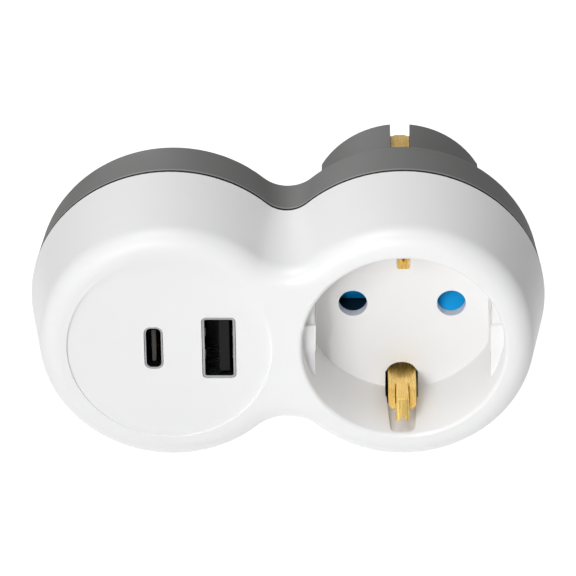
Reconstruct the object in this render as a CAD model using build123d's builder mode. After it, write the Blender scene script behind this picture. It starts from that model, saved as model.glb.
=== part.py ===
from build123d import *
import math
import os

os.makedirs("parts", exist_ok=True)

# Plug-in socket adapter with two round lobes: plug and socket on one axis, charger beside it.
# Millimetres. The origin is the centre of the plug's end face, +Y runs to the wall, +Z is up
# and the front faces -Y. A depth is counted from the front face towards the wall.

# Body
lobe_spacing = 44.2  # socket axis to the middle of the charger lobe
seam_radius = 27.6  # each lobe at the seam between cover and shell
waist_blend = 5.7  # concave arc between the lobes at the seam
cover_depth = 19.55  # front face to the rear edge of the cover
seam_gap = 0.3  # shadow gap between cover and shell
back_depth = 35.8  # front face to the flat back
cover_draft = 9.6
shell_draft = 4.4
front_round = 4.1
rear_round = 6.0
seam_bevel = 0.5
wall = 2.0
lip_shoulder = 1.1  # wall left outside the joint between cover and shell
lip_height = 1.5
lip_clearance = 0.15
least_land = 0.2  # flat left beside a rounded edge

# Plug boss
boss_length = 23.1
boss_radius = 18.1
boss_half_flat = 15.7  # socket axis to each flat side
boss_wall = 2.0
boss_end_wall = 2.5
boss_edge_round = 0.6
boss_root_round = 1.0
notch_width = 3.9
notch_depth = 3.0  # boss's round side to the floor of each earth notch
notch_length = 17.5
notch_wall = 1.5

# Socket recess
recess_radius = 19.2
recess_depth = 17.45
recess_draft = 1.0
recess_floor = 2.1
cup_wall = 2.4
rim_round = 0.7
flat_half_gap = 16.8  # socket axis to the flattened sides of the recess
flat_front = 4.9
rib_half_gap = 16.6
rib_front = 4.1
rib_width = 5.4
guide_round = 0.3
pin_spacing = 19.0
hole_radius = 2.8

# Earth clips of the socket
clip_width = 5.4
clip_thickness = 0.6
clip_rest = 14.1  # socket axis to the contact face of each clip
clip_arm = 15.2  # the same, where the strip passes the contact block
clip_bend_depth = 9.8
clip_heel_depth = 12.5
clip_bend = 5.5
clip_heel_bend = 6.0
tongue_bend = 1.0
clip_shoulder_depth = 5.6
clip_shoulder_drop = 2.5
clip_corner_round = 1.6
tongue_width = 2.5
tongue_slit = 0.15
tongue_start = 10.9
tongue_root_depth = 5.4
tongue_tip_depth = 2.9
tongue_tip_rest = 17.6
tongue_notch = 0.8
tongue_edge_round = 0.45  # coined along both edges of its contact face
clip_slot_width = 6.4
clip_slot_top = 13.2  # socket axis to the top of the arched slot in the recess floor
clip_slot_round = 3.0
groove_front = 1.2
groove_front_width = 4.7
groove_floor = 20.3
groove_corner_round = 1.2
groove_window_front = 13.6

# Charger panel and ports
panel_radius = 19.45
panel_step = 0.45
port_setback = 0.15
port_clearance = 0.12
usb_c_offset = -3.0  # from the middle of the charger lobe
usb_c_height = 8.9
usb_c_width = 3.35
usb_c_skin = 0.25
usb_c_corner = 1.25
usb_c_tongue_width = 0.7
usb_c_tongue_height = 6.7
usb_a_offset = 9.35
usb_a_height = 13.0
usb_a_width = 6.2
usb_a_skin = 0.4
usb_a_corner = 0.75
usb_a_tongue_width = 1.9
usb_a_tongue_height = 11.1
usb_a_tongue_offset = 1.0  # towards the socket from the middle of the port
tongue_setback = 0.9  # from the port's mouth
port_back = 3.0  # solid plastic at the back of each port
port_fit = 0.05

# Charger board
board_front = 15.0
board_thickness = 1.6
board_width = 35.0
board_height = 34.0
board_corner = 6.0
board_post_radius = 1.6
board_post_x = 14.0
board_post_z = 13.4
board_notch_gap = 0.8

# Contact block, shutter and spring
block_radius = 15.4
block_half_height = 13.6
chamber_radius = 13.7
chamber_half_height = 12.1
chamber_depth = 6.1
post_radius = 2.6
post_clearance = 0.06
sleeve_bore = 3.5
stop_thickness = 1.4
stop_gap = 0.2
shutter_gap = 0.15
hub_radius = 5.2
hub_length = 2.7
wing_reach = 12.9
wing_root = 3.6
wing_lead = 3.3  # axis to the edge of a wing that leads when it turns away
wing_trail = 2.55  # axis to the edge of a wing that rests against its stop
wing_front_land = 0.5
wing_back = 0.9  # thickness left under the deep end of the ramp
wing_thickness = 5.2
wing_pad = 6.9  # axis to the inner side of a wing's ramp
wing_round = 1.0
arm_setback = 3.4
spring_pocket = 4.6
spring_wire = 0.5
spring_radius = 3.7
spring_pitch = 0.7
spring_turns = 3
spring_leg = 4.0
spring_end_gap = 0.2

# Pins and sleeves
pin_radius = 2.4
pin_neck_radius = 2.2
pin_length = 19.0
pin_tip_round = 1.5
pin_bore_clearance = 0.05
pin_tower_radius = 4.6
pin_tower_length = 11.2
pin_collar_radius = 3.4
pin_collar_length = 1.2
pin_tail_radius = 1.4
pin_rivet_radius = 2.0
pin_rivet_height = 0.6
sleeve_inner = 2.5
sleeve_skin = 0.5
sleeve_base = 0.8
sleeve_front_gap = 1.0
sleeve_slit = 0.8
sleeve_slit_length = 4.6
sleeve_tab_width = 1.8
sleeve_tab_reach = 1.6  # beyond the contact block
sleeve_tab_setback = 0.3  # ahead of the block's rear face
tab_slot_gap = 0.3

# Plug earth strip and rivet
contact_width = 3.7
contact_thickness = 0.7
contact_setback = 0.8
contact_corner = 0.9
contact_slot = 0.9  # height of the slot that lets each contact into its notch
strip_bend = 1.0
strip_gap = 0.3
rivet_radius = 1.4
rivet_head_radius = 2.4
rivet_head_height = 0.7
rivet_clearance = 0.05

# Parts on the charger board; their places are counted from the middle of the charger lobe
transformer_offset = 3.5
transformer_z = -3.0
coil_size = 11.6
coil_width = 8.6
coil_height = 7.6
coil_corner = 2.0
core_size = 14.0
core_thickness = 5.0
core_yoke = 2.2
core_side = 2.2
core_leg = 4.0
bobbin_gap = 0.15
bobbin_skin = 0.7
bobbin_flange = 0.8
input_can_radius = 4.0
input_can_height = 13.0
output_can_radius = 3.15
output_can_height = 9.0
input_left_x = -9.3
input_left_z = 8.8
input_right_x = -0.4
input_right_z = 11.6
output_upper_x = 8.4
output_upper_z = 11.9
output_lower_x = -3.2
output_lower_z = -13.6
can_round = 0.5
can_groove_height = 1.2
can_groove_width = 0.6
can_groove_depth = 0.3
choke_radius = 3.0
choke_height = 7.5
choke_rim = 1.0
choke_groove = 0.7
choke_x = -9.6
choke_z = -9.6
rectifier_x = -8.3
rectifier_z = 0.9
rectifier_width = 4.8
rectifier_height = 4.2
rectifier_depth = 2.0
chip_x = -9.2
chip_z = -4.1
chip_width = 4.9
chip_height = 3.9
chip_depth = 1.5
package_bevel = 0.4
disc_radius = 4.0
disc_thickness = 2.8
disc_x = 5.8
disc_z = -13.6
fuse_radius = 1.5
fuse_length = 8.0
fuse_x = 13.6
fuse_z = -6.8

# Screws
screw_waist_rise = 8.6
screw_left_reach = 17.6
screw_post_radius = 2.9
screw_tunnel_radius = 3.4
screw_head_radius = 2.3
screw_head_height = 1.7
screw_head_clearance = 0.3
screw_shank_radius = 1.25
screw_hole_clearance = 0.05
screw_pass_clearance = 0.3
screw_seat_height = 4.4  # plastic under the head, from the cover's rear edge
screw_bite = 9.0
screw_recess_radius = 1.0
screw_recess_depth = 0.9

# Wires
wire_radius = 0.85
arc_share = 0.45  # part of the shorter run that each arc takes

# Worked out from the sizes above
total_depth = back_depth + boss_length
notch_floor = boss_radius - notch_depth
shell_front = cover_depth + seam_gap
front_lean = math.tan(math.radians(90 - cover_draft) / 2)
front_room = seam_radius - cover_depth * math.tan(math.radians(cover_draft)) - recess_radius - rim_round
front_edge_round = min(front_round, (front_room - least_land) / front_lean)
inner_front_round = max(front_edge_round - wall, front_edge_round / 2)
back_lean = math.tan(math.radians(90 - shell_draft) / 2)
back_room = seam_radius - (back_depth - shell_front) * math.tan(math.radians(shell_draft)) - boss_radius
back_edge_round = min(rear_round, (back_room - boss_root_round - least_land) / back_lean)
blend_reach = seam_radius + waist_blend
pin_offset = pin_spacing / 2
charger_x = -lobe_spacing
waist_x = -lobe_spacing / 2
block_front = recess_depth + recess_floor
block_rear = back_depth - wall
cup_radius = recess_radius + cup_wall
clip_slot_reach = cup_radius + clip_slot_round
port_front = panel_step + port_setback
usb_c_x = charger_x + usb_c_offset
usb_a_x = charger_x + usb_a_offset
board_rear = board_front + board_thickness
notch_front = total_depth - notch_length
tower_front = total_depth - pin_tower_length
collar_front = tower_front - pin_collar_length
chamber_floor = block_front + chamber_depth
shutter_front = block_front + shutter_gap
stop_root = hub_radius + 2 * stop_gap
stop_length = chamber_radius - stop_root
stop_height = wing_trail + stop_gap + stop_thickness / 2
sleeve_front = chamber_floor + sleeve_front_gap
tab_front = block_rear - sleeve_tab_setback - sleeve_tab_width
tab_end = block_half_height + sleeve_tab_reach
tab_middle = tab_front + sleeve_tab_width / 2
screw_seat = cover_depth + screw_seat_height
contact_end = total_depth - contact_setback
spring_front = shutter_front + hub_length + spring_end_gap + spring_wire / 2
transformer_x = charger_x + transformer_offset
transformer_middle = board_rear + coil_size / 2
core_window = (core_size - core_leg) / 2 - core_side
core_window_offset = (core_leg + core_window) / 2
bobbin_height = core_size - 2 * core_yoke - 2 * bobbin_gap
bobbin_tube = core_leg + 2 * bobbin_gap + 2 * bobbin_skin
bobbin_tube_depth = core_thickness + 2 * bobbin_gap + 2 * bobbin_skin
cross_depth = block_rear + clip_thickness + contact_thickness
slack = 0.01  # for picking edges by their place
screw_points = [
    (waist_x, screw_waist_rise),
    (waist_x, -screw_waist_rise),
    (charger_x - screw_left_reach, 0),
]


def at_depth(depth):
    """Sketch plane across the adapter; its normal faces the front, so -amount runs to the wall"""
    return Plane.XZ.offset(total_depth - depth)


def draw_lobes(radius, mode=Mode.ADD):
    """Two round lobes of this radius with the concave arcs that join them"""
    rise = math.sqrt(blend_reach**2 - waist_x**2)
    lean = math.degrees(math.atan2(rise, -waist_x))
    blend = blend_reach - radius
    with BuildLine() as outline:
        CenterArc((0, 0), radius, lean - 180, 360 - 2 * lean)
        CenterArc((waist_x, rise), blend, lean + 180, 180 - 2 * lean)
        CenterArc((charger_x, 0), radius, lean, 360 - 2 * lean)
        CenterArc((waist_x, -rise), blend, lean, 180 - 2 * lean)
    make_face(outline.line.edges(), mode=mode)


def draw_boss(inset):
    """Round plug outline with its two flat sides, moved inwards by the inset"""
    Circle(boss_radius - inset)
    Rectangle(2 * (boss_half_flat - inset), 2 * boss_radius, mode=Mode.INTERSECT)


def draw_strip(points, radii, thickness):
    """Side view of a bent strip: its inner face follows the points, given as depth and height"""
    with BuildLine() as outline:
        FilletPolyline(*[(depth - total_depth, height) for depth, height in points], radius=radii)
        offset(amount=thickness, side=Side.LEFT)
    make_face(outline.line.edges())


def wire_route(points):
    """Straight runs given as x, depth and height, joined by arcs as large as the runs allow"""
    places = [Vector(x, depth - total_depth, height) for x, depth, height in points]
    radii = []
    for before, corner, after in zip(places, places[1:], places[2:]):
        turn = math.radians((corner - before).get_angle(after - corner))
        radii.append(arc_share * min((corner - before).length, (after - corner).length) / math.tan(turn / 2))
    print("Bend radii of the wire:", ", ".join(f"{radius:.1f}" for radius in radii))
    return FilletPolyline(*places, radius=radii)


def draw_port(width, height, corner, growth, mode=Mode.ADD):
    """Upright port outline with rounded corners, grown or shrunk all round"""
    RectangleRounded(width + 2 * growth, height + 2 * growth, corner + growth, mode=mode)


def write(sub_part, name):
    """Label the finished piece and write its file"""
    sub_part.part.label = name
    export_step(sub_part.part, f"parts/{name}.step")


# Front cover: tapered shell with the socket recess, the charger panel and the port openings
with BuildPart() as cover_core:
    with BuildSketch(at_depth(cover_depth)):
        draw_lobes(seam_radius - wall)
    extrude(amount=cover_depth - wall, taper=cover_draft)
    fillet(cover_core.faces().sort_by(Axis.Y)[0].edges(), radius=inner_front_round)

with BuildPart() as front_cover:
    with BuildSketch(at_depth(cover_depth)):
        draw_lobes(seam_radius)
    extrude(amount=cover_depth, taper=cover_draft)
    fillet(front_cover.faces().sort_by(Axis.Y)[0].edges(), radius=front_edge_round)
    add(cover_core.part, mode=Mode.SUBTRACT)
    # Joint that takes the lip of the shell
    with BuildSketch(at_depth(cover_depth)):
        draw_lobes(seam_radius - lip_shoulder)
    extrude(amount=lip_height + lip_clearance, mode=Mode.SUBTRACT)
    # Cup round the recess, and the posts for screws and board
    with BuildSketch(at_depth(wall)):
        Circle(cup_radius)
    extrude(amount=wall - block_front)
    with BuildSketch(at_depth(cover_depth)):
        with Locations(*screw_points):
            Circle(screw_post_radius)
    extrude(amount=cover_depth - wall)
    with BuildSketch(at_depth(board_front)):
        with Locations((charger_x, 0)):
            with GridLocations(2 * board_post_x, 2 * board_post_z, 2, 2):
                Circle(board_post_radius)
    extrude(amount=board_front - wall)
    # Recess
    with BuildSketch(at_depth(0)):
        Circle(recess_radius)
    extrude(amount=-recess_depth, taper=recess_draft, mode=Mode.SUBTRACT)
    rim = front_cover.faces().sort_by(Axis.Y)[0].edges().filter_by(lambda edge: edge.is_closed)
    fillet(rim, radius=rim_round)
    # Flattened sides of the recess, and the guide rib on each
    for front, half_gap, width in (
        (flat_front, flat_half_gap, 2 * cup_radius),
        (rib_front, rib_half_gap, rib_width),
    ):
        with BuildSketch(at_depth(front)):
            Circle(recess_radius + cup_wall / 2)
            Rectangle(2 * cup_radius, width, mode=Mode.INTERSECT)
            Rectangle(2 * half_gap, 2 * cup_radius, mode=Mode.SUBTRACT)
        extrude(amount=front - block_front)
    # Pin holes
    with BuildSketch(at_depth(recess_depth)):
        with Locations((-pin_offset, 0), (pin_offset, 0)):
            Circle(hole_radius)
    extrude(amount=-recess_floor, mode=Mode.SUBTRACT)
    # Groove and arched slot for each earth clip
    for side in (1, -1):
        with BuildSketch(Plane.XY.offset(side * groove_floor)) as groove:
            with BuildLine():
                Polyline(
                    (-clip_slot_width / 2, recess_depth - total_depth),
                    (-groove_front_width / 2, groove_front - total_depth),
                    (groove_front_width / 2, groove_front - total_depth),
                    (clip_slot_width / 2, recess_depth - total_depth),
                    close=True,
                )
            make_face()
            fillet(groove.vertices().group_by(Axis.Y)[0], radius=groove_corner_round)
        extrude(amount=side * (clip_slot_top - groove_floor), mode=Mode.SUBTRACT)
        with BuildSketch(at_depth(groove_window_front)):
            with Locations((0, side * (clip_slot_reach + clip_arm) / 2)):
                Rectangle(clip_slot_width, clip_slot_reach - clip_arm)
        extrude(amount=groove_window_front - block_front, mode=Mode.SUBTRACT)
        with BuildSketch(at_depth(recess_depth)):
            with Locations((0, side * (clip_slot_reach + clip_slot_top) / 2)):
                RectangleRounded(clip_slot_width, clip_slot_reach - clip_slot_top, clip_slot_round)
        extrude(amount=-recess_floor, mode=Mode.SUBTRACT)
    # Charger panel and port openings
    with BuildSketch(at_depth(0)):
        with Locations((charger_x, 0)):
            Circle(panel_radius)
    extrude(amount=-panel_step, mode=Mode.SUBTRACT)
    with BuildSketch(at_depth(0)):
        with Locations((usb_c_x, 0)):
            draw_port(usb_c_width, usb_c_height, usb_c_corner, port_clearance)
        with Locations((usb_a_x, 0)):
            draw_port(usb_a_width, usb_a_height, usb_a_corner, port_clearance)
    extrude(amount=-board_front, mode=Mode.SUBTRACT)
    # Pilot holes for the screws
    with BuildSketch(at_depth(cover_depth)):
        with Locations(*screw_points):
            Circle(screw_shank_radius + screw_hole_clearance)
    extrude(amount=screw_bite + screw_hole_clearance, mode=Mode.SUBTRACT)
write(front_cover, "front_cover")

# Back shell: tapered shell with the plug boss, the pin towers and the screw tunnels
with BuildPart() as shell_core:
    with BuildSketch(at_depth(shell_front)):
        draw_lobes(seam_radius - wall)
    extrude(amount=shell_front - block_rear, taper=shell_draft)
    fillet(shell_core.faces().sort_by(Axis.Y)[-1].edges(), radius=back_edge_round - wall)

with BuildPart() as back_shell:
    with BuildSketch(at_depth(shell_front)):
        draw_lobes(seam_radius)
    extrude(amount=shell_front - back_depth, taper=shell_draft)
    fillet(back_shell.faces().sort_by(Axis.Y)[-1].edges(), radius=back_edge_round)
    chamfer(back_shell.faces().sort_by(Axis.Y)[0].edges(), length=seam_bevel)
    # Plug boss
    with BuildSketch(at_depth(back_depth)):
        draw_boss(0)
    extrude(amount=-boss_length)
    fillet(back_shell.faces().sort_by(Axis.Y)[-1].edges(), radius=boss_edge_round)
    back_edges = back_shell.edges().filter_by_position(Axis.Y, -boss_length - slack, -boss_length + slack)
    boss_root = back_edges.filter_by(
        lambda edge: all(math.hypot(corner.X, corner.Z) < boss_radius + slack for corner in edge.vertices())
    )
    fillet(boss_root, radius=boss_root_round)
    add(shell_core.part, mode=Mode.SUBTRACT)
    with BuildSketch(at_depth(block_rear)):
        draw_boss(boss_wall)
    extrude(amount=block_rear + boss_end_wall - total_depth, mode=Mode.SUBTRACT)
    # Relief for the earth strips where they cross behind the block
    with BuildSketch(at_depth(block_rear)):
        Rectangle(clip_width + 2 * strip_gap, 2 * (clip_arm + clip_thickness + strip_gap))
    extrude(amount=-(clip_thickness + strip_gap), mode=Mode.SUBTRACT)
    # Lip that centres the cover
    with BuildSketch(at_depth(cover_depth - lip_height)):
        draw_lobes(seam_radius - lip_shoulder - lip_clearance)
        draw_lobes(seam_radius - wall, mode=Mode.SUBTRACT)
    extrude(amount=-(lip_height + seam_gap))
    # Towers for the pins
    with BuildSketch(at_depth(tower_front)):
        with Locations((-pin_offset, 0), (pin_offset, 0)):
            Circle(pin_tower_radius)
    extrude(amount=-(pin_tower_length - boss_end_wall))
    with BuildSketch(at_depth(tower_front)):
        with Locations((-pin_offset, 0), (pin_offset, 0)):
            Circle(pin_radius + pin_bore_clearance)
    extrude(amount=-pin_tower_length, mode=Mode.SUBTRACT)
    # Earth notches, each with a channel under it and a slot that lets the contact in
    for side in (1, -1):
        with BuildSketch(at_depth(notch_front - notch_wall)):
            Circle(boss_radius - boss_wall / 2)
            with Locations((0, side * boss_radius)):
                Rectangle(
                    notch_width + 2 * notch_wall,
                    2 * (boss_radius - notch_floor + notch_wall),
                    mode=Mode.INTERSECT,
                )
        extrude(amount=-(notch_length + notch_wall - boss_end_wall))
        with BuildSketch(at_depth(notch_front)):
            with Locations((0, side * boss_radius)):
                Rectangle(notch_width, 2 * (boss_radius - notch_floor))
        extrude(amount=-notch_length, mode=Mode.SUBTRACT)
        with BuildSketch(at_depth(notch_front - notch_wall)):
            with Locations((0, side * (notch_floor + contact_slot / 2))):
                Rectangle(notch_width, contact_slot)
        extrude(amount=-notch_wall, mode=Mode.SUBTRACT)
    # Screw tunnels and the posts behind the board
    with BuildSketch(at_depth(cover_depth)):
        with Locations(*screw_points):
            Circle(screw_tunnel_radius)
    extrude(amount=cover_depth - block_rear)
    with BuildSketch(at_depth(cover_depth)):
        with Locations(*screw_points):
            Circle(screw_shank_radius + screw_pass_clearance)
    extrude(amount=-screw_seat_height, mode=Mode.SUBTRACT)
    with BuildSketch(at_depth(screw_seat)):
        with Locations(*screw_points):
            Circle(screw_head_radius + screw_head_clearance)
    extrude(amount=screw_seat - back_depth, mode=Mode.SUBTRACT)
    with BuildSketch(at_depth(board_rear)):
        with Locations((charger_x, 0)):
            with GridLocations(2 * board_post_x, 2 * board_post_z, 2, 2):
                Circle(board_post_radius)
    extrude(amount=board_rear - block_rear)
write(back_shell, "back_shell")

# Contact block: clamped between the recess floor and the shell, it holds the sleeves and
# makes the chamber in which the shutter turns
with BuildPart() as contact_block:
    with BuildSketch(at_depth(block_front)):
        Circle(block_radius)
        Rectangle(2 * block_radius, 2 * block_half_height, mode=Mode.INTERSECT)
    extrude(amount=block_front - block_rear)
    with BuildSketch(at_depth(block_front)):
        Circle(chamber_radius)
        Rectangle(2 * chamber_radius, 2 * chamber_half_height, mode=Mode.INTERSECT)
        Circle(post_radius, mode=Mode.SUBTRACT)
        # Stops: above the right wing and below the left one
        for side in (1, -1):
            with Locations((side * (stop_root + chamber_radius) / 2, side * stop_height)):
                Rectangle(stop_length, stop_thickness, mode=Mode.SUBTRACT)
    extrude(amount=-chamber_depth, mode=Mode.SUBTRACT)
    with BuildSketch(at_depth(chamber_floor)):
        with Locations((-pin_offset, 0), (pin_offset, 0)):
            Circle(sleeve_bore)
    extrude(amount=chamber_floor - block_rear, mode=Mode.SUBTRACT)
    # Slots for the sleeves' solder tabs, and a pocket for the rivet
    with BuildSketch(at_depth(tab_front - tab_slot_gap)):
        with Locations((-pin_offset, block_half_height / 2), (pin_offset, block_half_height / 2)):
            Rectangle(sleeve_skin + 2 * tab_slot_gap, block_half_height)
    extrude(amount=tab_front - tab_slot_gap - block_rear, mode=Mode.SUBTRACT)
    with BuildSketch(at_depth(block_rear)):
        Circle(rivet_head_radius + tab_slot_gap)
    extrude(amount=rivet_head_height + tab_slot_gap, mode=Mode.SUBTRACT)
write(contact_block, "contact_block")

# Shutter: a hub on the block's post and two wings whose ramps face opposite ways, so that two
# pins pushed in together turn it and one alone jams it
with BuildPart() as shutter:
    with BuildSketch(at_depth(shutter_front)):
        Circle(hub_radius)
    extrude(amount=-hub_length)
    with BuildSketch(at_depth(shutter_front)):
        with Locations(((wing_root + wing_reach) / 2, (wing_trail - wing_lead) / 2)):
            Rectangle(wing_reach - wing_root, wing_trail + wing_lead)
        Circle(wing_reach, mode=Mode.INTERSECT)
    extrude(amount=-wing_thickness)
    # Ramp of the right wing, deepest at its upper edge
    with BuildSketch(Plane.YZ.offset(wing_pad)):
        with BuildLine():
            Polyline(
                (shutter_front - total_depth, wing_front_land - wing_lead),
                (shutter_front + wing_thickness - wing_back - total_depth, wing_trail),
                (shutter_front - total_depth, wing_trail),
                close=True,
            )
        make_face()
    extrude(amount=wing_reach - wing_pad, mode=Mode.SUBTRACT)
    # The arm between hub and pad lies deeper
    with BuildSketch(at_depth(shutter_front)):
        with Locations(((hub_radius + wing_pad) / 2, 0)):
            Rectangle(wing_pad - hub_radius, 2 * wing_lead)
        Circle(hub_radius, mode=Mode.SUBTRACT)
    extrude(amount=-arm_setback, mode=Mode.SUBTRACT)
    pad_edge = shutter.edges().filter_by(
        lambda edge: all(abs(corner.X - wing_pad) < slack for corner in edge.vertices())
        and edge.length > wing_lead
        and edge.center().Y > shutter_front + slack - total_depth
    )
    fillet(pad_edge.sort_by(Axis.Y)[0], radius=wing_round)
    # Left wing: the same, turned half way round
    half = shutter.part
    add(half.rotate(Axis.Y, 180))
    # Room for the spring behind the hub, and the bore
    with BuildSketch(at_depth(shutter_front + hub_length)):
        Circle(spring_pocket)
    extrude(amount=hub_length - wing_thickness, mode=Mode.SUBTRACT)
    with BuildSketch(at_depth(shutter_front)):
        Circle(post_radius + post_clearance)
    extrude(amount=-wing_thickness, mode=Mode.SUBTRACT)
write(shutter, "shutter")

# Torsion spring that turns the shutter back: coil round the post, with one leg on each side
with BuildPart() as shutter_spring:
    with BuildLine():
        coil = Helix(
            pitch=spring_pitch,
            height=spring_turns * spring_pitch,
            radius=spring_radius,
            center=(0, spring_front - total_depth, 0),
            direction=(0, 1, 0),
        )
    with BuildSketch(Plane(origin=coil @ 0, z_dir=coil % 0)):
        Circle(spring_wire / 2)
    sweep(is_frenet=True)
    for place, heading in ((coil @ 0, -(coil % 0)), (coil @ 1, coil % 1)):
        with BuildSketch(Plane(origin=place, z_dir=heading)):
            Circle(spring_wire / 2)
        extrude(amount=spring_leg)
write(shutter_spring, "shutter_spring")

# Plug pins and the contact sleeves riveted to their tails
for side, place in ((-1, "left"), (1, "right")):
    with BuildPart() as plug_pin:
        for radius, start, end in (
            (pin_radius, total_depth, total_depth + pin_length),
            (pin_neck_radius, tower_front, total_depth),
            (pin_collar_radius, collar_front, tower_front),
            (pin_tail_radius, collar_front - sleeve_base, collar_front),
            (pin_rivet_radius, collar_front - sleeve_base - pin_rivet_height, collar_front - sleeve_base),
        ):
            with BuildSketch(at_depth(start)):
                with Locations((side * pin_offset, 0)):
                    Circle(radius)
            extrude(amount=start - end)
        fillet(plug_pin.faces().sort_by(Axis.Y)[-1].edges(), radius=pin_tip_round)
    write(plug_pin, f"plug_pin_{place}")

    with BuildPart() as contact_sleeve:
        with BuildSketch(at_depth(sleeve_front)):
            with Locations((side * pin_offset, 0)):
                Circle(sleeve_inner + sleeve_skin)
                Circle(sleeve_inner, mode=Mode.SUBTRACT)
        extrude(amount=sleeve_front - collar_front)
        mouth = contact_sleeve.faces().sort_by(Axis.Y)[0].inner_wires()[0]
        chamfer(mouth.edges(), length=sleeve_skin / 2)
        with BuildSketch(at_depth(collar_front - sleeve_base)):
            with Locations((side * pin_offset, 0)):
                Circle(sleeve_inner + sleeve_skin)
                Circle(pin_tail_radius + rivet_clearance, mode=Mode.SUBTRACT)
        extrude(amount=-sleeve_base)
        with BuildSketch(at_depth(sleeve_front)):
            with Locations((side * pin_offset, 0)):
                Rectangle(4 * sleeve_inner, sleeve_slit)
        extrude(amount=-sleeve_slit_length, mode=Mode.SUBTRACT)
        # Solder tab, standing up through its slot in the contact block
        with BuildSketch(at_depth(tab_front)):
            with Locations((side * pin_offset, (sleeve_inner + tab_end) / 2)):
                Rectangle(sleeve_skin, tab_end - sleeve_inner)
        extrude(amount=-sleeve_tab_width)
    write(contact_sleeve, f"contact_sleeve_{place}")

# Earth strip of the socket: one bent piece with a sprung clip at each end
clip_half = [
    (clip_shoulder_depth, clip_rest + clip_shoulder_drop),
    (clip_bend_depth, clip_rest),
    (clip_heel_depth, clip_rest),
    (block_front, clip_arm),
    (block_rear, clip_arm),
]
clip_bends = [clip_bend, clip_heel_bend, clip_heel_bend, strip_bend]
with BuildPart() as socket_earth_strip:
    with BuildSketch(Plane.YZ):
        draw_strip(
            clip_half + [(depth, -height) for depth, height in reversed(clip_half)],
            clip_bends + clip_bends[::-1],
            clip_thickness,
        )
    extrude(amount=clip_width / 2, both=True)
    shoulders = socket_earth_strip.edges().filter_by(
        lambda edge: abs(edge.length - clip_thickness) < slack
        and edge.center().Y < clip_bend_depth - total_depth
    )
    fillet(shoulders, radius=clip_corner_round)
    with BuildSketch(at_depth(0)):
        Rectangle(tongue_width + 2 * tongue_slit, 2 * groove_floor)
    extrude(amount=-tongue_start, mode=Mode.SUBTRACT)
    # Narrow tongue that runs on between the shoulders and bends outwards to its notched tip
    for side in (1, -1):
        tongue = [
            (tongue_tip_depth, side * tongue_tip_rest),
            (tongue_root_depth, side * clip_rest),
            (tongue_start + clip_thickness, side * clip_rest),
        ]
        with BuildPart() as bent_tongue:
            with BuildSketch(Plane.YZ):
                draw_strip(tongue[::side], [tongue_bend], clip_thickness)
            extrude(amount=tongue_width / 2, both=True)
            contact_side = bent_tongue.faces().filter_by(
                lambda face: side * face.normal_at().Z < 0 and abs(face.normal_at().X) < slack
            )
            fillet(contact_side.edges().filter_by(Plane.YZ), radius=tongue_edge_round)
        add(bent_tongue.part)
        with BuildSketch(Plane.XZ.offset(total_depth - tongue_root_depth)):
            with BuildLine():
                Polyline(
                    (0, side * (tongue_tip_rest - tongue_notch)),
                    (-tongue_notch, side * (tongue_tip_rest + tongue_notch)),
                    (tongue_notch, side * (tongue_tip_rest + tongue_notch)),
                    close=True,
                )
            make_face()
        extrude(amount=tongue_root_depth, mode=Mode.SUBTRACT)
    with BuildSketch(at_depth(block_rear)):
        Circle(rivet_radius + rivet_clearance)
    extrude(amount=-clip_thickness, mode=Mode.SUBTRACT)
write(socket_earth_strip, "socket_earth_strip")

# Earth strip of the plug: its two arms lie on the floors of the notches
with BuildPart() as plug_earth_strip:
    with BuildSketch(Plane.YZ):
        draw_strip(
            [
                (contact_end, -notch_floor),
                (cross_depth, -notch_floor),
                (cross_depth, notch_floor),
                (contact_end, notch_floor),
            ],
            [strip_bend, strip_bend],
            contact_thickness,
        )
    extrude(amount=contact_width / 2, both=True)
    tips = plug_earth_strip.edges().filter_by(Axis.Z).filter_by(
        lambda edge: edge.center().Y > contact_end - total_depth - slack
    )
    chamfer(tips, length=contact_corner)
    with BuildSketch(at_depth(cross_depth)):
        Circle(rivet_radius + rivet_clearance)
    extrude(amount=contact_thickness, mode=Mode.SUBTRACT)
write(plug_earth_strip, "plug_earth_strip")

# Rivet that joins the two earth strips behind the block
with BuildPart() as earth_rivet:
    for radius, start, end in (
        (rivet_head_radius, block_rear - rivet_head_height, block_rear),
        (rivet_radius, block_rear, cross_depth),
        (rivet_head_radius, cross_depth, cross_depth + rivet_head_height),
    ):
        with BuildSketch(at_depth(start)):
            Circle(radius)
        extrude(amount=start - end)
    for face in (earth_rivet.faces().sort_by(Axis.Y)[0], earth_rivet.faces().sort_by(Axis.Y)[-1]):
        fillet(face.edges(), radius=rivet_head_height / 2)
write(earth_rivet, "earth_rivet")

# Ports: a drawn metal shell, and a plastic body with the tongue that carries the contacts
with BuildPart() as usb_c_shell:
    with BuildSketch(at_depth(port_front)):
        with Locations((usb_c_x, 0)):
            draw_port(usb_c_width, usb_c_height, usb_c_corner, 0)
            draw_port(usb_c_width, usb_c_height, usb_c_corner, -usb_c_skin, Mode.SUBTRACT)
    extrude(amount=port_front - board_front)
write(usb_c_shell, "usb_c_shell")

with BuildPart() as usb_c_tongue:
    with BuildSketch(at_depth(board_front)):
        with Locations((usb_c_x, 0)):
            draw_port(usb_c_width, usb_c_height, usb_c_corner, -usb_c_skin - port_fit)
    extrude(amount=port_back)
    with BuildSketch(at_depth(board_front)):
        with Locations((usb_c_x, 0)):
            RectangleRounded(usb_c_tongue_width, usb_c_tongue_height, usb_c_tongue_width / 3)
    extrude(amount=board_front - port_front - tongue_setback)
write(usb_c_tongue, "usb_c_tongue")

with BuildPart() as usb_a_shell:
    with BuildSketch(at_depth(port_front)):
        with Locations((usb_a_x, 0)):
            draw_port(usb_a_width, usb_a_height, usb_a_corner, 0)
            draw_port(usb_a_width, usb_a_height, usb_a_corner, -usb_a_skin, Mode.SUBTRACT)
    extrude(amount=port_front - board_front)
write(usb_a_shell, "usb_a_shell")

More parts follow.
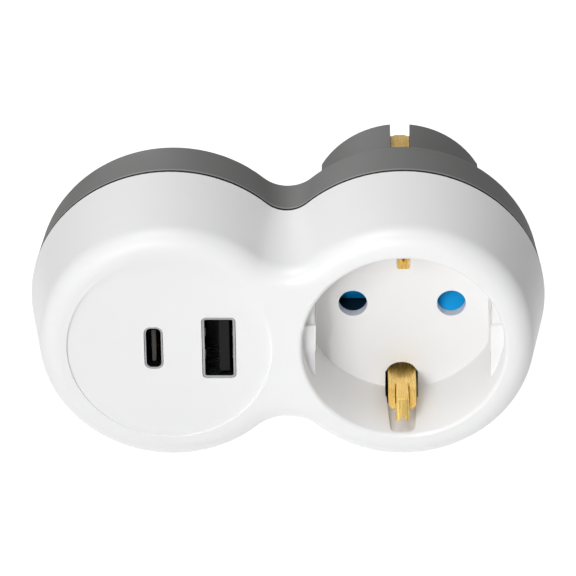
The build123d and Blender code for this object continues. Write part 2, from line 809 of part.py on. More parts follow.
with BuildPart() as usb_a_tongue:
    with BuildSketch(at_depth(board_front)):
        with Locations((usb_a_x, 0)):
            draw_port(usb_a_width, usb_a_height, usb_a_corner, -usb_a_skin - port_fit)
    extrude(amount=port_back)
    with BuildSketch(at_depth(board_front)):
        with Locations((usb_a_x + usb_a_tongue_offset, 0)):
            Rectangle(usb_a_tongue_width, usb_a_tongue_height)
    extrude(amount=board_front - port_front - tongue_setback)
write(usb_a_tongue, "usb_a_tongue")

# Charger board, held between the posts of cover and shell, with a notch round the screw post
with BuildPart() as charger_board:
    with BuildSketch(at_depth(board_front)):
        with Locations((charger_x, 0)):
            RectangleRounded(board_width, board_height, board_corner)
        with Locations(screw_points[-1]):
            Circle(screw_post_radius + board_notch_gap, mode=Mode.SUBTRACT)
    extrude(amount=-board_thickness)
write(charger_board, "charger_board")

# Transformer: a core frame with a middle leg along Z, the bobbin on that leg, and the winding
with BuildPart() as transformer_core:
    with BuildSketch(at_depth(transformer_middle - core_thickness / 2)):
        with Locations((transformer_x, transformer_z)):
            Rectangle(core_size, core_size)
            with Locations((-core_window_offset, 0), (core_window_offset, 0)):
                Rectangle(core_window, core_size - 2 * core_yoke, mode=Mode.SUBTRACT)
    extrude(amount=-core_thickness)
write(transformer_core, "transformer_core")

with BuildPart() as transformer_bobbin:
    with BuildSketch(Plane.XY.offset(transformer_z - bobbin_height / 2)):
        with Locations((transformer_x, transformer_middle - total_depth)):
            Rectangle(bobbin_tube, bobbin_tube_depth)
            Rectangle(core_leg + 2 * bobbin_gap, core_thickness + 2 * bobbin_gap, mode=Mode.SUBTRACT)
    extrude(amount=bobbin_height)
    for height in (-bobbin_height / 2, bobbin_height / 2 - bobbin_flange):
        with BuildSketch(Plane.XY.offset(transformer_z + height)):
            with Locations((transformer_x, transformer_middle - total_depth)):
                Rectangle(core_size - 2 * core_side - 2 * bobbin_gap, coil_size)
                Rectangle(core_leg + 2 * bobbin_gap, core_thickness + 2 * bobbin_gap, mode=Mode.SUBTRACT)
        extrude(amount=bobbin_flange)
write(transformer_bobbin, "transformer_bobbin")

with BuildPart() as transformer_coil:
    with BuildSketch(Plane.XY.offset(transformer_z - coil_height / 2)):
        with Locations((transformer_x, transformer_middle - total_depth)):
            RectangleRounded(coil_width, coil_size - 2 * bobbin_gap, coil_corner)
            Rectangle(bobbin_tube, bobbin_tube_depth, mode=Mode.SUBTRACT)
    extrude(amount=coil_height)
write(transformer_coil, "transformer_coil")

# Can capacitors standing on the board: rolled groove near the foot and a rounded top
for name, x, z, radius, height in (
    ("input_capacitor_left", input_left_x, input_left_z, input_can_radius, input_can_height),
    ("input_capacitor_right", input_right_x, input_right_z, input_can_radius, input_can_height),
    ("output_capacitor_upper", output_upper_x, output_upper_z, output_can_radius, output_can_height),
    ("output_capacitor_lower", output_lower_x, output_lower_z, output_can_radius, output_can_height),
):
    with BuildPart() as can:
        with BuildSketch(at_depth(board_rear)):
            with Locations((charger_x + x, z)):
                Circle(radius)
        extrude(amount=-height)
        fillet(can.faces().sort_by(Axis.Y)[-1].edges(), radius=can_round)
        with BuildSketch(at_depth(board_rear + can_groove_height)):
            with Locations((charger_x + x, z)):
                Circle(radius)
                Circle(radius - can_groove_depth, mode=Mode.SUBTRACT)
        extrude(amount=-can_groove_width, mode=Mode.SUBTRACT)
    write(can, name)

# Choke: a drum with its winding between two rims
with BuildPart() as choke:
    for radius, start, end in (
        (choke_radius, 0, choke_rim),
        (choke_radius - choke_groove, choke_rim, choke_height - choke_rim),
        (choke_radius, choke_height - choke_rim, choke_height),
    ):
        with BuildSketch(at_depth(board_rear + start)):
            with Locations((charger_x + choke_x, choke_z)):
                Circle(radius)
        extrude(amount=start - end)
write(choke, "choke")

# Flat packages lying on the board
for name, x, z, width, height, depth in (
    ("rectifier", rectifier_x, rectifier_z, rectifier_width, rectifier_height, rectifier_depth),
    ("controller_chip", chip_x, chip_z, chip_width, chip_height, chip_depth),
):
    with BuildPart() as package:
        with BuildSketch(at_depth(board_rear)):
            with Locations((charger_x + x, z)):
                Rectangle(width, height)
        extrude(amount=-depth)
        chamfer(package.faces().sort_by(Axis.Y)[-1].edges(), length=package_bevel)
    write(package, name)

# Disc capacitor between the two sides of the charger, standing on its edge
with BuildPart() as noise_capacitor:
    with BuildSketch(Plane.XY.offset(disc_z - disc_thickness / 2)):
        with Locations((charger_x + disc_x, board_rear + disc_radius - total_depth)):
            Circle(disc_radius)
    extrude(amount=disc_thickness)
    fillet(noise_capacitor.edges(), radius=disc_thickness / 3)
write(noise_capacitor, "noise_capacitor")

# Fuse resistor lying on the board
with BuildPart() as fuse_resistor:
    with BuildSketch(Plane.XY.offset(fuse_z - fuse_length / 2)):
        with Locations((charger_x + fuse_x, board_rear + fuse_radius - total_depth)):
            Circle(fuse_radius)
    extrude(amount=fuse_length)
    fillet(fuse_resistor.edges().filter_by(GeomType.CIRCLE), radius=fuse_radius / 3)
write(fuse_resistor, "fuse_resistor")

# Insulated wires from the sleeves' tabs, over the waist, to the board
for name, points in (
    (
        "neutral_wire",
        [
            (-pin_offset, tab_middle, tab_end),
            (-pin_offset, tab_middle, tab_end + 3.2),
            (-pin_offset - 4.0, tab_middle - 1.4, tab_end + 2.0),
            (waist_x, tab_middle - 3.2, 13.9),
            (waist_x - 6.1, board_rear + 10.0, 10.6),
            (waist_x - 7.4, board_rear + 6.0, 1.4),
            (waist_x - 7.4, board_rear, 1.4),
        ],
    ),
    (
        "live_wire",
        [
            (pin_offset, tab_middle, tab_end),
            (pin_offset, tab_middle, tab_end + 2.6),
            (3.0, tab_middle - 3.1, 20.3),
            (-6.5, tab_middle - 5.1, 19.8),
            (-15.0, tab_middle - 6.6, 16.6),
            (waist_x, tab_middle - 7.4, 14.3),
            (waist_x - 7.5, board_rear + 6.2, 8.8),
            (waist_x - 7.5, board_rear, 8.8),
        ],
    ),
):
    with BuildPart() as wire:
        with BuildLine():
            route = wire_route(points)
        with BuildSketch(Plane(origin=route @ 0, z_dir=route % 0)):
            Circle(wire_radius)
        sweep()
    write(wire, name)

# Screws from the back, with a hexagonal recess in each head
with BuildPart() as housing_screws:
    for radius, start, end in (
        (screw_shank_radius, screw_seat - screw_seat_height - screw_bite, screw_seat),
        (screw_head_radius, screw_seat, screw_seat + screw_head_height),
    ):
        with BuildSketch(at_depth(start)):
            with Locations(*screw_points):
                Circle(radius)
        extrude(amount=start - end)
    with BuildSketch(at_depth(screw_seat + screw_head_height)):
        with Locations(*screw_points):
            RegularPolygon(screw_recess_radius, 6)
    extrude(amount=screw_recess_depth, mode=Mode.SUBTRACT)
write(housing_screws, "housing_screws")
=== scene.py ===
import math

import bmesh
import bpy
from mathutils import Matrix, Vector


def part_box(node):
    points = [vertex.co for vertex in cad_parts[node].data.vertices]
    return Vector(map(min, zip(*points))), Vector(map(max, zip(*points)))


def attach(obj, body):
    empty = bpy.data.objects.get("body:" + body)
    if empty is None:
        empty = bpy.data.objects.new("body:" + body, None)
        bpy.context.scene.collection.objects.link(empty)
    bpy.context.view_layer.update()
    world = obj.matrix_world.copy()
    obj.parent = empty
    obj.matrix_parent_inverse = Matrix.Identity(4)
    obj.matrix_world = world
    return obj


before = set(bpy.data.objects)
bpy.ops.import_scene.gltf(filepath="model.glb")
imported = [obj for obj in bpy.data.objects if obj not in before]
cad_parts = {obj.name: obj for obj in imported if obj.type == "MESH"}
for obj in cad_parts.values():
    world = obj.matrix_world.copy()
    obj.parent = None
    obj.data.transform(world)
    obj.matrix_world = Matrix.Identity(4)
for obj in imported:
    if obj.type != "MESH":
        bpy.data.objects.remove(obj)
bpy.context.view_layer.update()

# Camera: a long lens that looks down at the front from about thirty degrees, as the product
# picture was taken. Its focal length is counted in the pixels of that picture.
picture_width = 576
focal_pixels = 3411.5
camera_target = Vector((-0.02165, -0.0589, 0.01326))
camera_distance = 0.63727
camera_azimuth = math.radians(1.156)
camera_elevation = math.radians(29.423)
camera_roll = math.radians(-0.681)
camera_back = Vector((
    math.sin(camera_azimuth) * math.cos(camera_elevation),
    -math.cos(camera_azimuth) * math.cos(camera_elevation),
    math.sin(camera_elevation),
))
level_right = Vector((0, 0, 1)).cross(camera_back).normalized()
level_up = camera_back.cross(level_right)
camera_right = level_right * math.cos(camera_roll) + level_up * math.sin(camera_roll)
camera_up = camera_back.cross(camera_right)
camera_place = camera_target + camera_back * camera_distance
camera_data = bpy.data.cameras.new("camera")
camera_data.sensor_width = 36
camera_data.lens = focal_pixels / picture_width * camera_data.sensor_width
camera_data.clip_start = 0.05
camera_data.clip_end = 20
camera = bpy.data.objects.new("camera", camera_data)
bpy.context.scene.collection.objects.link(camera)
camera.matrix_world = Matrix((
    (camera_right.x, camera_up.x, camera_back.x, camera_place.x),
    (camera_right.y, camera_up.y, camera_back.y, camera_place.y),
    (camera_right.z, camera_up.z, camera_back.z, camera_place.z),
    (0, 0, 0, 1),
))
bpy.context.scene.camera = camera
bpy.context.scene.view_settings.view_transform = "Standard"

# Studio lights: broad soft ones above and in front, and a weak one behind for the plug side.
# A narrow one reaches into the socket recess, and a pale world fills the shadows.
light_aim = Vector((-0.022, -0.04, 0))
for light_name, light_place, light_size, light_power in (
    ("top_light", (-0.3, -0.3, 1.0), 0.6, 4.2),
    ("front_light", (-0.35, -1.0, 0.42), 0.5, 4.8),
    ("back_light", (-0.3, 0.95, 0.35), 0.6, 1.6),
):
    light_data = bpy.data.lights.new(light_name, "AREA")
    light_data.shape = "DISK"
    light_data.size = light_size
    light_data.energy = light_power
    light = bpy.data.objects.new(light_name, light_data)
    bpy.context.scene.collection.objects.link(light)
    light.location = light_place
    light.rotation_euler = (light_aim - Vector(light_place)).to_track_quat("-Z", "Y").to_euler()

socket_aim = Vector((0, -0.0414, -0.002))
socket_light_data = bpy.data.lights.new("socket_light", "SPOT")
socket_light_data.energy = 10
socket_light_data.shadow_soft_size = 0.03
socket_light_data.spot_size = math.radians(2.7)
socket_light_data.spot_blend = 0.9
socket_light = bpy.data.objects.new("socket_light", socket_light_data)
bpy.context.scene.collection.objects.link(socket_light)
socket_light.location = (-0.2, -0.9, 0.3)
socket_light.rotation_euler = (socket_aim - socket_light.location).to_track_quat("-Z", "Y").to_euler()

world = bpy.data.worlds.new("studio")
bpy.context.scene.world = world
world.use_nodes = True
world_light = world.node_tree.nodes["Background"]
world_light.inputs["Color"].default_value = (1, 1, 1, 1)
world_light.inputs["Strength"].default_value = 0.22

# Studio floor: plain and pale, well under the adapter. It glows fully in a round patch behind the
# adapter, where the picture looks past it, and the glow fades around that to a weak rest.
floor_level = -0.25
floor_half_side = 6
floor_white = (0.96, 0.96, 0.96, 1)
glow_centre = (-0.02, 0.38, floor_level)
glow_full_radius = 0.25
glow_rest_radius = 0.6
glow_rest = 0.25
glow_strength = 0.6
floor_mesh = bpy.data.meshes.new("floor")
floor_build = bmesh.new()
bmesh.ops.create_grid(
    floor_build,
    x_segments=1,
    y_segments=1,
    size=floor_half_side,
    matrix=Matrix.Translation((0, 0, floor_level)),
)
floor_build.to_mesh(floor_mesh)
floor_build.free()
floor = bpy.data.objects.new("floor", floor_mesh)
bpy.context.scene.collection.objects.link(floor)
floor_paint = bpy.data.materials.new("floor paint")
floor_paint.use_nodes = True
floor_nodes = floor_paint.node_tree.nodes
floor_join = floor_paint.node_tree.links.new
floor_shader = floor_nodes["Principled BSDF"]
floor_shader.inputs["Base Color"].default_value = floor_white
floor_shader.inputs["Roughness"].default_value = 0.9
floor_shader.inputs["Emission Strength"].default_value = glow_strength
glow_place = floor_nodes.new("ShaderNodeTexCoord")
glow_reach = floor_nodes.new("ShaderNodeVectorMath")
glow_reach.operation = "DISTANCE"
glow_reach.inputs[1].default_value = glow_centre
glow_fade = floor_nodes.new("ShaderNodeMapRange")
glow_fade.interpolation_type = "SMOOTHSTEP"
glow_fade.inputs["From Min"].default_value = glow_full_radius
glow_fade.inputs["From Max"].default_value = glow_rest_radius
glow_fade.inputs["To Min"].default_value = 1
glow_fade.inputs["To Max"].default_value = glow_rest
floor_join(glow_place.outputs["Object"], glow_reach.inputs[0])
floor_join(glow_reach.outputs["Value"], glow_fade.inputs["Value"])
floor_join(glow_fade.outputs["Result"], floor_shader.inputs["Emission Color"])
floor_mesh.materials.append(floor_paint)

# Front cover: one injection moulding of white plastic with a fine satin skin. The socket recess,
# the charger's shallow panel and the openings for the ports are moulded in with it.


def effect(name, inputs, outputs):
    """Empty shader group with these named inputs and outputs"""
    group = bpy.data.node_groups.new(name, "ShaderNodeTree")
    for socket_name, kind, value in inputs:
        socket = group.interface.new_socket(socket_name, in_out="INPUT", socket_type=kind)
        socket.default_value = value
    for socket_name, kind in outputs:
        group.interface.new_socket(socket_name, in_out="OUTPUT", socket_type=kind)
    return group, group.nodes.new("NodeGroupInput"), group.nodes.new("NodeGroupOutput")


def moulded_skin():
    """Fine grain of a moulded surface, and slow uneven patches of tone over it"""
    group, given, result = effect(
        "moulded skin",
        [("Grain Scale", "NodeSocketFloat", 5000), ("Patch Scale", "NodeSocketFloat", 60)],
        [("Grain", "NodeSocketFloat"), ("Patches", "NodeSocketFloat")],
    )
    place = group.nodes.new("ShaderNodeTexCoord")
    grain = group.nodes.new("ShaderNodeTexNoise")
    grain.inputs["Detail"].default_value = 4
    grain.inputs["Roughness"].default_value = 0.6
    patches = group.nodes.new("ShaderNodeTexNoise")
    patches.inputs["Detail"].default_value = 3
    join = group.links.new
    join(place.outputs["Object"], grain.inputs["Vector"])
    join(place.outputs["Object"], patches.inputs["Vector"])
    join(given.outputs["Grain Scale"], grain.inputs["Scale"])
    join(given.outputs["Patch Scale"], patches.inputs["Scale"])
    join(grain.outputs["Fac"], result.inputs["Grain"])
    join(patches.outputs["Fac"], result.inputs["Patches"])
    return group


skin_group = moulded_skin()


def new_paint(name, group):
    """Material with a shader group placed in it"""
    paint = bpy.data.materials.new(name)
    paint.use_nodes = True
    placed = paint.node_tree.nodes.new("ShaderNodeGroup")
    placed.node_tree = group
    return paint, paint.node_tree.nodes["Principled BSDF"], placed


def vary(paint, tone_from, gloss_from, relief_from, tones, tone_span, roughness, depth):
    """Feeds a paint's colour, roughness and bump from outputs of its shader group"""
    gloss_span = (0.3, 0.7)
    nodes = paint.node_tree.nodes
    join = paint.node_tree.links.new
    shader = nodes["Principled BSDF"]
    tone = nodes.new("ShaderNodeValToRGB")
    for stop, position, colour in zip(tone.color_ramp.elements, tone_span, tones):
        stop.position = position
        stop.color = (*colour, 1)
    gloss = nodes.new("ShaderNodeMapRange")
    gloss.inputs["From Min"].default_value = gloss_span[0]
    gloss.inputs["From Max"].default_value = gloss_span[1]
    gloss.inputs["To Min"].default_value = roughness[0]
    gloss.inputs["To Max"].default_value = roughness[1]
    bump = nodes.new("ShaderNodeBump")
    bump.inputs["Strength"].default_value = 1
    bump.inputs["Distance"].default_value = depth
    join(tone_from, tone.inputs["Fac"])
    join(tone.outputs["Color"], shader.inputs["Base Color"])
    join(gloss_from, gloss.inputs["Value"])
    join(gloss.outputs["Result"], shader.inputs["Roughness"])
    join(relief_from, bump.inputs["Height"])
    join(bump.outputs["Normal"], shader.inputs["Normal"])


def plastic(name, light, dark, roughness, grain_scale, grain_depth, specular=0.5):
    """Moulded plastic: two close tones, an uneven gloss and a fine grain"""
    paint, shader, skin = new_paint(name, skin_group)
    shader.inputs["Specular IOR Level"].default_value = specular
    skin.inputs["Grain Scale"].default_value = grain_scale
    patches = skin.outputs["Patches"]
    grain = skin.outputs["Grain"]
    vary(paint, patches, patches, grain, (dark, light), (0.35, 0.65), roughness, grain_depth)
    return paint


def dress(node, paint):
    """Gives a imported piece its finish"""
    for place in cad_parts[node].material_slots:
        place.material = paint


white_plastic = plastic(
    "white moulded plastic",
    light=(0.95, 0.95, 0.955),
    dark=(0.935, 0.935, 0.94),
    roughness=(0.3, 0.42),
    grain_scale=5200,
    grain_depth=0.000012,
)
dress("front_cover", white_plastic)

# Back shell: the grey half of the housing, with the plug boss in one piece with it. Its mould was
# spark-eroded, which leaves an even, matt grain.
grey_plastic = plastic(
    "grey grained plastic",
    light=(0.19, 0.188, 0.186),
    dark=(0.17, 0.169, 0.168),
    roughness=(0.5, 0.62),
    grain_scale=3800,
    grain_depth=0.00004,
)


def painted_seam_shade(paint, edge, reach, shade, painted_highlight, highlight_share):
    """Painted shadow along a wall's front edge, with a painted highlight on the bevel behind it"""
    shade_end, highlight_start, highlight_end = 0.48, 0.56, 0.85  # shares of the reach
    nodes = paint.node_tree.nodes
    join = paint.node_tree.links.new
    shader = nodes["Principled BSDF"]
    plain_tone = shader.inputs["Base Color"].links[0].from_socket
    place = nodes.new("ShaderNodeTexCoord")
    split = nodes.new("ShaderNodeSeparateXYZ")
    run = nodes.new("ShaderNodeMapRange")
    run.inputs["From Min"].default_value = edge
    run.inputs["From Max"].default_value = edge + reach
    line = nodes.new("ShaderNodeValToRGB")
    stops = line.color_ramp.elements
    for position, tone, share in (
        (shade_end, shade, 1),
        (highlight_start, painted_highlight, highlight_share),
        (highlight_end, painted_highlight, highlight_share),
    ):
        stop = stops.new(position)
        stop.color = (tone, tone, tone, share)
    stops[0].color = (shade, shade, shade, 1)
    stops[-1].color = (painted_highlight, painted_highlight, painted_highlight, 0)
    mixer = nodes.new("ShaderNodeMix")
    mixer.data_type = "RGBA"
    colours = [socket for socket in mixer.inputs if socket.type == "RGBA"]
    mixed = [socket for socket in mixer.outputs if socket.type == "RGBA"][0]
    join(place.outputs["Object"], split.inputs["Vector"])
    join(split.outputs["Y"], run.inputs["Value"])
    join(run.outputs["Result"], line.inputs["Fac"])
    join(line.outputs["Alpha"], mixer.inputs["Factor"])
    join(plain_tone, colours[0])
    join(line.outputs["Color"], colours[1])
    join(mixed, shader.inputs["Base Color"])


# Painted shadow at the shell's front edge where it meets the cover, and a painted highlight on the
# bevel just behind it
shell_edge = -0.03905  # front edge of the shell's outer wall
painted_seam_shade(grey_plastic, shell_edge, reach=0.001, shade=0.003, painted_highlight=0.42, highlight_share=0.8)
dress("back_shell", grey_plastic)

# Earth strips: bent from rolled brass sheet. One carries the two sprung clips in the socket and
# the other the two contacts in the plug's notches; a brass rivet joins them.


def rolled_sheet():
    """Fine streaks left by rolling or turning, and slow patches of tarnish"""
    group, given, result = effect(
        "rolled sheet",
        [("Stretch", "NodeSocketVector", (300, 6000, 6000)), ("Patch Scale", "NodeSocketFloat", 150)],
        [("Streaks", "NodeSocketFloat"), ("Patches", "NodeSocketFloat")],
    )
    place = group.nodes.new("ShaderNodeTexCoord")
    stretch = group.nodes.new("ShaderNodeVectorMath")
    stretch.operation = "MULTIPLY"
    streaks = group.nodes.new("ShaderNodeTexNoise")
    streaks.inputs["Scale"].default_value = 1
    streaks.inputs["Detail"].default_value = 3
    patches = group.nodes.new("ShaderNodeTexNoise")
    patches.inputs["Detail"].default_value = 4
    join = group.links.new
    join(place.outputs["Object"], stretch.inputs[0])
    join(given.outputs["Stretch"], stretch.inputs[1])
    join(stretch.outputs["Vector"], streaks.inputs["Vector"])
    join(place.outputs["Object"], patches.inputs["Vector"])
    join(given.outputs["Patch Scale"], patches.inputs["Scale"])
    join(streaks.outputs["Fac"], result.inputs["Streaks"])
    join(patches.outputs["Fac"], result.inputs["Patches"])
    return group


sheet_group = rolled_sheet()


def metal(name, light, dark, roughness, stretch, streak_depth, metallic=1):
    """Bare or plated metal: two close tones, an uneven gloss and fine streaks"""
    paint, shader, sheet = new_paint(name, sheet_group)
    shader.inputs["Metallic"].default_value = metallic
    sheet.inputs["Stretch"].default_value = stretch
    patches = sheet.outputs["Patches"]
    streaks = sheet.outputs["Streaks"]
    vary(paint, patches, streaks, streaks, (dark, light), (0.32, 0.62), roughness, streak_depth)
    return paint


brass = metal(
    "rolled brass",
    light=(0.97, 0.68, 0.22),
    dark=(0.9, 0.6, 0.16),
    roughness=(0.2, 0.34),
    stretch=(2200, 150, 150),
    streak_depth=0.0000015,
    metallic=0.6,
)
for node in ("socket_earth_strip", "plug_earth_strip", "earth_rivet"):
    dress(node, brass)

# Contact block: the moulding behind the recess floor that holds the live and neutral sleeves.
# Its front is hollowed into the chamber of the shutter. Its ivory plastic is painted near black
# as painted shade, so that the chamber and the pin holes look dark.
block_shade_black = plastic(
    "block painted black as shade",
    light=(0.012, 0.012, 0.013),
    dark=(0.009, 0.009, 0.01),
    roughness=(0.4, 0.55),
    grain_scale=4000,
    grain_depth=0.00002,
)
dress("contact_block", block_shade_black)

# Shutter: a blue moulding on the block's post that closes both pin holes. Two pins pushed in
# together turn it aside, and a torsion spring coiled from steel wire turns it back.
blue_plastic = plastic(
    "blue moulded plastic",
    light=(0.0, 0.44, 0.98),
    dark=(0.0, 0.37, 0.88),
    roughness=(0.5, 0.6),
    grain_scale=4200,
    grain_depth=0.00001,
    specular=0.2,
)
dress("shutter", blue_plastic)
spring_steel = metal(
    "spring steel",
    light=(0.55, 0.55, 0.56),
    dark=(0.42, 0.42, 0.44),
    roughness=(0.2, 0.35),
    stretch=(3000, 3000, 3000),
    streak_depth=0.000003,
)
dress("shutter_spring", spring_steel)

# Pins and sleeves: turned and nickel-plated pins, held in the towers of the plug boss. The sleeves
# behind the pin holes are drawn from brass sheet and riveted to the pins' tails.
nickel = metal(
    "nickel plate",
    light=(0.78, 0.75, 0.7),
    dark=(0.68, 0.65, 0.6),
    roughness=(0.12, 0.24),
    stretch=(300, 9000, 300),
    streak_depth=0.000004,
)
for node in ("plug_pin_left", "plug_pin_right"):
    dress(node, nickel)
for node in ("contact_sleeve_left", "contact_sleeve_right"):
    dress(node, brass)

# Ports: shells drawn from bright steel sheet, each round a moulded plastic body with a tongue.
# They stand on the front of the charger board, in the openings of the panel.
port_steel = metal(
    "bright steel",
    light=(0.5, 0.5, 0.51),
    dark=(0.42, 0.42, 0.44),
    roughness=(0.18, 0.32),
    stretch=(300, 4000, 4000),
    streak_depth=0.000003,
)
for node in ("usb_c_shell", "usb_a_shell"):
    dress(node, port_steel)
tongue_plastic = plastic(
    "dark grey moulded tongue",
    light=(0.032, 0.032, 0.033),
    dark=(0.024, 0.024, 0.025),
    roughness=(0.4, 0.5),
    grain_scale=5000,
    grain_depth=0.00001,
)
dress("usb_c_tongue", tongue_plastic)
black_plastic = plastic(
    "black moulded plastic",
    light=(0.006, 0.006, 0.007),
    dark=(0.004, 0.004, 0.005),
    roughness=(0.4, 0.5),
    grain_scale=5000,
    grain_depth=0.00001,
    specular=0.25,
)
dress("usb_a_tongue", black_plastic)

# Contacts in the ports: gold-plated strips let into the tongues, twelve on each side of the small
# one and four on one side of the large one. Sprung leaves stand in from the large shell's walls.


def place_piece(name, build, paint):
    """Makes an object of a finished shape, paints it and fixes it to the housing"""
    bmesh.ops.recalc_face_normals(build, faces=build.faces)
    mesh = bpy.data.meshes.new(name)
    build.to_mesh(mesh)
    build.free()
    mesh.materials.append(paint)
    piece = bpy.data.objects.new(name, mesh)
    bpy.context.scene.collection.objects.link(piece)
    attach(piece, "housing")


def add_strip(build, low, high, edge_round):
    """Adds a flat strip between two corners, its edges slightly rounded"""
    size = Vector(high) - Vector(low)
    middle = (Vector(high) + Vector(low)) / 2
    corners = bmesh.ops.create_cube(
        build, size=1, matrix=Matrix.Translation(middle) @ Matrix.Diagonal((*size, 1))
    )["verts"]
    edges = list({edge for corner in corners for edge in corner.link_edges})
    bmesh.ops.bevel(
        build,
        geom=edges,
        offset=edge_round,
        segments=2,
        profile=0.5,
        affect="EDGES",
        material=-1,
        clamp_overlap=True,
    )


gold = metal(
    "gold plate",
    light=(0.95, 0.66, 0.26),
    dark=(0.85, 0.56, 0.2),
    roughness=(0.18, 0.28),
    stretch=(600, 9000, 9000),
    streak_depth=0.000002,
)

usb_c_low, usb_c_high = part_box("usb_c_tongue")
usb_c_middle = (usb_c_low[0] + usb_c_high[0]) / 2
usb_c_half_tongue = 0.00035  # half the tongue's thickness
usb_c_count = 12
usb_c_pitch = 0.0005
usb_c_half_strip = 0.00013  # half the strip's width
usb_c_half_plate = 0.00004  # half its thickness; the other half lies in the plastic
usb_c_start = 0.0007  # from the tongue's tip
usb_c_end = 0.0052
usb_c_strips = bmesh.new()
for side in (-1, 1):
    for strip in range(usb_c_count):
        height = (strip - (usb_c_count - 1) / 2) * usb_c_pitch
        face = usb_c_middle + side * usb_c_half_tongue
        add_strip(
            usb_c_strips,
            (face - usb_c_half_plate, usb_c_low[1] + usb_c_start, height - usb_c_half_strip),
            (face + usb_c_half_plate, usb_c_low[1] + usb_c_end, height + usb_c_half_strip),
            edge_round=0.00002,
        )
place_piece("usb_c_contacts", usb_c_strips, gold)

usb_a_low, usb_a_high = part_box("usb_a_tongue")
usb_a_middle = (usb_a_low[0] + usb_a_high[0]) / 2
usb_a_tongue_offset = 0.001  # of the tongue from the middle of the port
usb_a_half_tongue = 0.00095  # half the tongue's thickness
usb_a_face = usb_a_middle + usb_a_tongue_offset - usb_a_half_tongue
usb_a_half_strip = 0.0005
usb_a_sunk = 0.00006  # how deep the strip lies in the plastic, and how far it stands out
usb_a_proud = 0.00004
usb_a_outer_start = 0.0012  # from the tongue's tip; the outer pair meets the plug first
usb_a_inner_start = 0.0022
usb_a_end = 0.0095
usb_a_strips = bmesh.new()
for height, start in (
    (-0.0035, usb_a_outer_start),
    (-0.001, usb_a_inner_start),
    (0.001, usb_a_inner_start),
    (0.0035, usb_a_outer_start),
):
    add_strip(
        usb_a_strips,
        (usb_a_face - usb_a_sunk, usb_a_low[1] + start, height - usb_a_half_strip),
        (usb_a_face + usb_a_proud, usb_a_low[1] + usb_a_end, height + usb_a_half_strip),
        edge_round=0.00003,
    )
place_piece("usb_a_contacts", usb_a_strips, gold)

leaf_width = 0.0017
leaf_thickness = 0.00012
leaf_height = 0.00235  # of each leaf's middle, above or below the middle of the port
# Side view of a leaf: depth from the mouth and lift off the wall, from the root to the tip,
# which turns back towards the wall at the mouth
leaf_run = [(0.0078, 0.0), (0.0052, 0.00022), (0.0034, 0.0005), (0.0028, 0.0005), (0.0019, 0.0001)]
shell_thickness = 0.0004
shell_low, shell_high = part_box("usb_a_shell")
leaves = bmesh.new()
for side in (-1, 1):
    wall_face = shell_low[0] + shell_thickness if side < 0 else shell_high[0] - shell_thickness
    for height in (-leaf_height, leaf_height):
        points = [
            leaves.verts.new((wall_face - side * lift, shell_low[1] + depth, height - leaf_width / 2))
            for depth, lift in leaf_run
        ]
        lines = [leaves.edges.new(pair) for pair in zip(points, points[1:])]
        grown = bmesh.ops.extrude_edge_only(leaves, edges=lines)["geom"]
        moved = [item for item in grown if isinstance(item, bmesh.types.BMVert)]
        bmesh.ops.translate(leaves, verts=moved, vec=(0, 0, leaf_width))
bmesh.ops.solidify(leaves, geom=leaves.faces[:], thickness=leaf_thickness)
place_piece("usb_a_leaves", leaves, port_steel)

# Charger board: a sheet of laminate with green lacquer, cut round a screw post. It is held
# between the posts of the cover and of the shell, and carries the ports and the charger's parts.
laminate = plastic(
    "green lacquered laminate",
    light=(0.02, 0.16, 0.06),
    dark=(0.015, 0.12, 0.045),
    roughness=(0.2, 0.35),
    grain_scale=3000,
    grain_depth=0.00002,
)
dress("charger_board", laminate)

# Transformer: a dark ferrite core with its middle leg in a black moulded bobbin. The winding on
# the bobbin is wrapped with yellow tape.
ferrite = plastic(
    "ferrite",
    light=(0.05, 0.05, 0.055),
    dark=(0.035, 0.035, 0.04),
    roughness=(0.55, 0.75),
    grain_scale=2500,
    grain_depth=0.00003,
)
coil_tape = plastic(
    "yellow tape",
    light=(0.7, 0.48, 0.04),
    dark=(0.6, 0.4, 0.03),
    roughness=(0.2, 0.35),
    grain_scale=900,
    grain_depth=0.00003,
)
dress("transformer_core", ferrite)
dress("transformer_coil", coil_tape)
dress("transformer_bobbin", black_plastic)

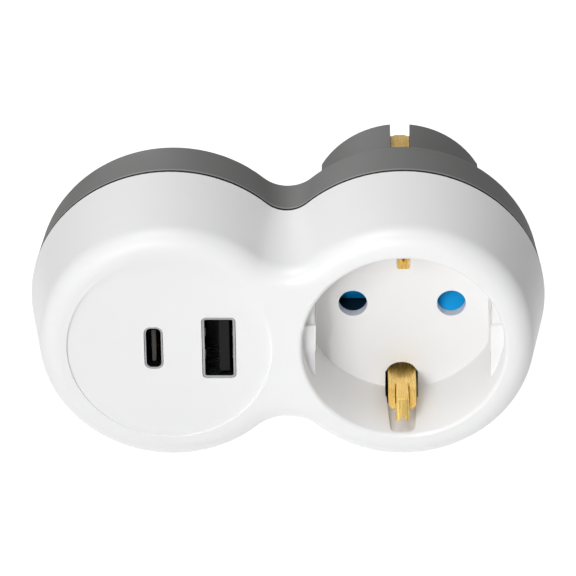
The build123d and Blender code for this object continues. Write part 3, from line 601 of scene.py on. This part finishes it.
# Parts on the back of the board: cans in shrunk sleeves, a wound choke, black packages, a dipped
# disc and a lacquered resistor.
dark_sleeve = plastic(
    "dark shrunk sleeve",
    light=(0.02, 0.025, 0.05),
    dark=(0.014, 0.018, 0.04),
    roughness=(0.22, 0.36),
    grain_scale=2500,
    grain_depth=0.00001,
)
for node in (
    "input_capacitor_left",
    "input_capacitor_right",
    "output_capacitor_upper",
    "output_capacitor_lower",
):
    dress(node, dark_sleeve)
copper_winding = metal(
    "enamelled copper",
    light=(0.6, 0.22, 0.08),
    dark=(0.45, 0.16, 0.05),
    roughness=(0.2, 0.35),
    stretch=(300, 12000, 300),
    streak_depth=0.00003,
)
dress("choke", copper_winding)
for node in ("rectifier", "controller_chip"):
    dress(node, black_plastic)
blue_coating = plastic(
    "blue dipped coating",
    light=(0.03, 0.12, 0.4),
    dark=(0.02, 0.09, 0.33),
    roughness=(0.2, 0.3),
    grain_scale=900,
    grain_depth=0.00004,
)
dress("noise_capacitor", blue_coating)
resistor_lacquer = plastic(
    "green lacquer",
    light=(0.2, 0.3, 0.2),
    dark=(0.16, 0.25, 0.17),
    roughness=(0.35, 0.45),
    grain_scale=1500,
    grain_depth=0.00003,
)
dress("fuse_resistor", resistor_lacquer)

# Wires: stranded copper in extruded insulation, blue for neutral and brown for live. They run
# from the sleeves' tabs over the waist to the charger board.
blue_insulation = plastic(
    "blue insulation",
    light=(0.02, 0.09, 0.45),
    dark=(0.015, 0.07, 0.38),
    roughness=(0.35, 0.45),
    grain_scale=2500,
    grain_depth=0.00001,
)
brown_insulation = plastic(
    "brown insulation",
    light=(0.13, 0.05, 0.02),
    dark=(0.1, 0.04, 0.016),
    roughness=(0.35, 0.45),
    grain_scale=2500,
    grain_depth=0.00001,
)
dress("neutral_wire", blue_insulation)
dress("live_wire", brown_insulation)

# Screws: three of zinc-plated steel, with a hexagonal recess in each head. They go in from the
# back, down tunnels in the shell, and bite into the cover's posts.
zinc = metal(
    "zinc plate",
    light=(0.5, 0.5, 0.52),
    dark=(0.38, 0.38, 0.4),
    roughness=(0.28, 0.42),
    stretch=(2500, 2500, 2500),
    streak_depth=0.000006,
)
dress("housing_screws", zinc)
